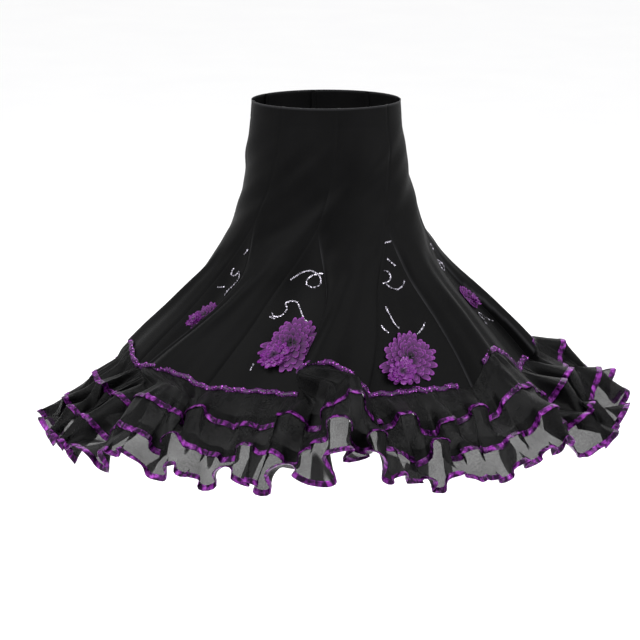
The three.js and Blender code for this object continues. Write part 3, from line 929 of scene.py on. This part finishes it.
# petals, reach as a share of the radius, width as a share of the reach, mm above the cloth at root and tip
ROUNDS = [
    (22, 1.0, 0.26, 1.2, 3.0),
    (20, 0.86, 0.28, 2.2, 5.6),
    (17, 0.72, 0.32, 3.4, 7.8),
    (14, 0.57, 0.38, 4.8, 9.6),
    (11, 0.42, 0.44, 6.2, 10.8),
    (8, 0.27, 0.56, 7.4, 11.6),
]
PETAL_ROWS = 8
PETAL_COLUMNS = 7
# Shares by which petals differ in place round the flower, length, width and height
TURN_LOOSE = 0.15
LENGTH_LOOSE = 0.07
WIDTH_LOOSE = 0.06
HEIGHT_LOOSE = 0.14
# mm that a petal is cupped, frilled at its tip, turned down at its sides, and off the cloth at least;
# the power of its rise to the tip, the mm of its wall, and the shares of a godet that petals stay within
PETAL_CUP = 1.2
PETAL_FRILL = 0.8
PETAL_DROOP = 1.4
PETAL_OFF = 0.8
PETAL_RISE = 1.6
CORD = 0.7
PETALS_WITHIN = (0.01, 0.98)
# A large head of lace, and a small glossy one of satin loops sewn over its foot: place to the right and
# down as shares of the radius, size, mm above the cloth, first of its rounds and number of its material
HEADS = [(0, 0, 1, 0, 0, 0), (-0.36, 0.5, 0.5, 5, 3, 1)]

lace, shader, make = new_material("purple_lace")
cut = make.add("ShaderNodeUVMap").outputs["UV"]
parts = make.add("ShaderNodeSeparateXYZ", {"Vector": cut})
threads = make.noise(make.add("ShaderNodeTexCoord").outputs["Object"], 420, 2.0)
# Painted shade: each petal is darker at its root, under the next round, and lighter towards its tip and where
# its thread noise stands up
tip = make.between(parts.outputs["Y"], 0.4, 1.0)
lit = make.math("MULTIPLY", tip, make.between(threads, 0.3, 0.7, 0.6, 1.0))
body = make.mix(lit, linear(11, 3, 14), linear(96, 39, 106))
edge_u = make.math("ABSOLUTE", make.math("SUBTRACT", parts.outputs["X"], 0.5))
at_tip = make.between(parts.outputs["Y"], 0.9, 0.97)
rim = make.math("MAXIMUM", make.between(edge_u, 0.42, 0.48), at_tip)
make.feed(shader.inputs["Base Color"], make.mix(rim, body, linear(118, 52, 130)))
make.feed(shader.inputs["Roughness"], make.between(threads, 0.3, 0.7, 0.45, 0.7))
shader.inputs["Specular IOR Level"].default_value = 0.2
shader.inputs["Sheen Weight"].default_value = 0.08
bumped(make, shader, threads, 0.7, 0.0012)

loops, shader, make = new_material("purple_loops")
cut = make.add("ShaderNodeUVMap").outputs["UV"]
parts = make.add("ShaderNodeSeparateXYZ", {"Vector": cut})
sheen = make.noise(make.add("ShaderNodeTexCoord").outputs["Object"], 260, 2.0)
# Painted shade and sheen: each loop is darker at its root and lighter towards its tip, with painted sheen in
# spots from the noise
tip = make.between(parts.outputs["Y"], 0.2, 0.9)
lit = make.math("MULTIPLY", tip, make.between(sheen, 0.35, 0.65, 0.4, 1.0))
make.feed(shader.inputs["Base Color"], make.mix(lit, linear(24, 5, 30), linear(120, 42, 134)))
make.feed(shader.inputs["Roughness"], make.between(sheen, 0.3, 0.7, 0.18, 0.34))
shader.inputs["Specular Tint"].default_value = (0.85, 0.6, 0.9, 1)
bumped(make, shader, sheen, 0.6, 0.001)


def rates(index, share, down):
    """Millimetres for each whole godet across, and for each millimetre down, at a place on it."""
    step = 0.01
    q = index + 0.5 + share / 2
    across = body_point(q + step / 2, down) - body_point(q - step / 2, down)
    fall = body_point(q, down + 1) - body_point(q, down - 1)
    return np.linalg.norm(across) / (2 * step), np.linalg.norm(fall) / 2


down, across = np.linspace(0, 1, PETAL_ROWS), np.linspace(-1, 1, PETAL_COLUMNS)
petal_v, petal_u = np.meshgrid(down, across, indexing="ij")
petal_uv = np.stack([(petal_u + 1) / 2, petal_v], -1).reshape(-1, 2)
grid = np.arange(PETAL_ROWS * PETAL_COLUMNS).reshape(PETAL_ROWS, PETAL_COLUMNS)
petal_quads = np.stack([grid[:-1, :-1], grid[:-1, 1:], grid[1:, 1:], grid[1:, :-1]], -1).reshape(-1, 4)


def petal(radius, head, layer, n):
    """One petal of a head: mm to the right of the flower's middle, down from it, and off the cloth."""
    u, v = petal_u, petal_v
    right, below, size, lift, first = head[:5]
    count, reach, wide, root, tip_height = ROUNDS[first + layer]
    turn_at = 2 * np.pi * (n + 0.5 * (layer % 2) + TURN_LOOSE * rng.normal()) / count
    full = radius * size * reach / ROUNDS[first][1]
    length = full * (1 + LENGTH_LOOSE * rng.normal())
    # Narrow at its root, widest past its middle and rounded at its tip
    half = full * wide * (0.42 + 0.58 * np.sin(np.pi * np.clip(v * 0.62 + 0.12, 0, 1))) * 0.5
    along_petal = length * (0.12 + 0.88 * v * (1 - 0.05 * u ** 2 - 0.13 * u ** 4))
    side = half * u * (1 + WIDTH_LOOSE * rng.normal())
    rise = lerp(root, tip_height, v ** PETAL_RISE) * (1 + HEIGHT_LOOSE * rng.normal())
    cup = PETAL_CUP * (1 - u * u) * np.sin(np.pi * v) + PETAL_FRILL * np.cos(3 * np.pi * u) * v * v
    height_at = np.maximum(lift + rise + cup - PETAL_DROOP * u * u * v, PETAL_OFF)
    x = right * radius + along_petal * np.sin(turn_at) + side * np.cos(turn_at)
    y = below * radius + along_petal * np.cos(turn_at) - side * np.sin(turn_at)
    return x, y, height_at


for index, name in enumerate(NAMES):
    down, share = FLOWER_PLACES[index]
    across_rate, down_rate = rates(index, share, down)
    radius = min(FLOWER_RADIUS, min(share, 1 - share) * across_rate - FLOWER_MARGIN)
    petals, finish = [], []
    for head in HEADS:
        first, material = head[4:]
        for layer, (count, *_) in enumerate(ROUNDS[first:]):
            for n in range(count):
                x, y, height_at = petal(radius, head, layer, n)
                across = np.clip(share + x / across_rate, *PETALS_WITHIN)
                at, way = godet_point(index, across, down + y / down_rate)
                petals.append((at + way * height_at[..., None]).reshape(-1, 3))
                finish.extend([material] * len(petal_quads))
    faces = petal_quads + (np.arange(len(petals)) * len(petal_uv))[:, None, None]
    mesh = bpy.data.meshes.new(f"lace_flower_{name}")
    mesh.from_pydata((np.concatenate(petals) * MM).tolist(), [], faces.reshape(-1, 4).tolist())
    corner = np.empty(len(mesh.loops), int)
    mesh.loops.foreach_get("vertex_index", corner)
    uv = mesh.uv_layers.new(name="UVMap")
    uv.data.foreach_set("uv", petal_uv[corner % len(petal_uv)].ravel())
    mesh.materials.append(lace)
    mesh.materials.append(loops)
    mesh.polygons.foreach_set("material_index", finish)
    flower = bpy.data.objects.new(mesh.name, mesh)
    bpy.context.collection.objects.link(flower)
    bpy.context.view_layer.objects.active = flower
    flower.select_set(True)
    give_wall(flower, CORD)
    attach(flower, "root")
    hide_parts(f"flower_{name}")


# The scrolls: silver sequins sewn in single lines on the godets, as loops, hooks and short sprigs that
# climb from each flower towards the point of its godet.

# Each line's turning points, in mm to the right and down from where it is placed
LOOP = [(-34, 6), (-20, -8), (0, -12), (18, -4), (20, 12), (8, 20), (-4, 14), (-2, 2), (12, -6), (26, -8)]
HOOK = [(-34, 2), (-26, 9), (-14, 6), (-9, -8), (-16, -20), (-4, -25), (9, -21), (20, -6), (30, 10), (44, 20)]
CURL = [(-16, -14), (-4, -9), (0, 3), (-8, 12), (-18, 13)]
BOW = [(-26, -6), (-14, 6), (0, 11), (13, 5), (24, -8)]
SPRIG = [(-7, -24), (-1, -4), (3, 12), (10, 26)]
SHOOT = [(-12, 3), (0, -1), (13, -8)]
DASH = [(-9, -4), (9, 4)]
# Each godet's lines, in the order of NAMES: line, share across, mm down the skirt, degrees turned and size
SCROLLS = [
    [
        (LOOP, 0.62, 322, 0, 1.0), (HOOK, 0.42, 388, 0, 1.0),
        (DASH, 0.2, 398, 0, 0.6), (DASH, 0.3, 486, 60, 0.8),
    ],
    [
        (DASH, 0.45, 262, -30, 0.7), (DASH, 0.5, 300, 20, 1.1), (CURL, 0.42, 326, 0, 0.9),
        (BOW, 0.55, 342, 0, 0.9), (SPRIG, 0.25, 398, -6, 1.0), (SHOOT, 0.1, 416, 70, 0.8),
        (SHOOT, 0.72, 424, -18, 1.2),
    ],
    [(LOOP, 0.5, 330, 20, 0.7), (HOOK, 0.45, 440, 0, 0.7), (DASH, 0.6, 296, 60, 0.7)],
    [
        (LOOP, 0.55, 330, 8, 0.75), (HOOK, 0.42, 380, 8, 0.75),
        (SHOOT, 0.6, 292, -50, 0.8), (SPRIG, 0.3, 392, 30, 0.6),
    ],
    [
        (LOOP, 0.5, 322, -12, 0.8), (HOOK, 0.55, 376, -8, 0.8),
        (SHOOT, 0.4, 286, 60, 0.8), (SPRIG, 0.24, 404, 10, 0.7),
    ],
    [
        (LOOP, 0.52, 332, 14, 0.85), (HOOK, 0.55, 392, 4, 0.85),
        (SHOOT, 0.6, 288, -40, 0.9), (SHOOT, 0.2, 420, 60, 0.9),
    ],
    [
        (LOOP, 0.5, 326, -6, 0.75), (HOOK, 0.5, 376, 12, 0.75),
        (SHOOT, 0.45, 290, 50, 0.8), (SPRIG, 0.3, 396, -8, 0.6),
    ],
    [(DASH, 0.75, 288, 100, 0.7), (HOOK, 0.6, 342, 60, 0.75), (SHOOT, 0.35, 362, 10, 0.6)],
]
# mm: the sequins' radius, how far apart they are on a line, and how far off the cloth
SILVER_RADIUS = 1.6
SILVER_STEP = 2.7
SILVER_OFF = 1.2
SCROLLS_WITHIN = (0.05, 0.95)
CURVE_PARTS = 20
silver_foil = sequin_material("silver_foil", (60, 58, 66), (190, 186, 198), 0.9)


def through(points, step):
    """Places step apart on a smooth curve through points."""
    points = np.array(points, float)
    knots = np.concatenate([points[:1] * 2 - points[1:2], points, points[-1:] * 2 - points[-2:-1]])
    t = np.linspace(0, 1, CURVE_PARTS, endpoint=False)[:, None]
    runs = []
    for a, b, c, d in zip(knots, knots[1:], knots[2:], knots[3:]):
        runs.append(curve_between(t, 1, b, c, (c - a) / 2, (d - b) / 2))
    line = np.concatenate(runs + [points[-1:]])
    run = run_across(line[None])[0]
    at = np.arange(0, run[-1], step)
    return np.stack([np.interp(at, run, line[:, k]) for k in (0, 1)], -1)


for index, name in enumerate(NAMES):
    centres, ways = [], []
    for line, share, down, turned, size in SCROLLS[index]:
        across_rate, down_rate = rates(index, share, down)
        x, y = through(np.array(line) * size, SILVER_STEP).T
        c, s = math.cos(math.radians(turned)), math.sin(math.radians(turned))
        at = np.clip(share + (x * c - y * s) / across_rate, *SCROLLS_WITHIN)
        point, way = godet_point(index, at, down + (x * s + y * c) / down_rate)
        centres.append(point + way * SILVER_OFF)
        ways.append(way)
    centres, ways = np.concatenate(centres), np.concatenate(ways)
    scroll = lay_sequins(f"silver_scroll_{name}", centres, ways, silver_foil, SILVER_RADIUS)
    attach(scroll, "root")


# The studio: a wide pale floor under the skirt, which is held up by its waist, and soft light from
# large panels. The camera looks from the front, a little from above, as the photograph does.
FLOOR_Z = -1.4
FLOOR_SIZE = 60
bpy.ops.mesh.primitive_grid_add(x_subdivisions=8, y_subdivisions=8, size=FLOOR_SIZE)
floor = bpy.context.object
floor.name = "floor"
for vertex in floor.data.vertices:
    vertex.co.z = FLOOR_Z
floor.select_set(False)
pale, shader, make = new_material("pale_floor")
speckle = make.noise(make.add("ShaderNodeTexCoord").outputs["Object"], 3.0)
make.feed(shader.inputs["Base Color"], make.mix(speckle, linear(246, 246, 247), linear(250, 250, 250)))
shader.inputs["Roughness"].default_value = 0.9
floor.data.materials.append(pale)

world = bpy.data.worlds.new("studio")
bpy.context.scene.world = world
world.use_nodes = True
world.node_tree.nodes["Background"].inputs["Color"].default_value = (1, 1, 1, 1)
world.node_tree.nodes["Background"].inputs["Strength"].default_value = 1.0
bpy.context.scene.view_settings.view_transform = "Standard"

# name, place, power and size of each light, all aimed at the skirt's middle
LIGHTS = [
    ("key", (-2.4, -2.6, 3.2), 190, 2.6),
    ("fill", (3.2, -2.0, 1.6), 90, 2.4),
    ("rim", (0.6, 3.2, 2.8), 110, 3.2),
]
AIM = Vector((0, 0, -0.4))
for name, spot, power, size in LIGHTS:
    bpy.ops.object.light_add(type="AREA", location=spot)
    light = bpy.context.object
    light.name = name
    light.data.energy = power
    light.data.size = size
    light.rotation_euler = (AIM - Vector(spot)).to_track_quat("-Z", "Y").to_euler()
    light.select_set(False)

EYE = Vector((0, -5.846, 1.02))
LOOK_AT = Vector((-0.012, -0.026, -0.443))
LENS = 168.75
FILM = 36
FARTHEST = 200
bpy.ops.object.camera_add(location=EYE)
camera = bpy.context.object
camera.data.lens = LENS
camera.data.sensor_width = FILM
camera.data.clip_end = FARTHEST
camera.rotation_euler = (LOOK_AT - EYE).to_track_quat("-Z", "Y").to_euler()
bpy.context.scene.camera = camera
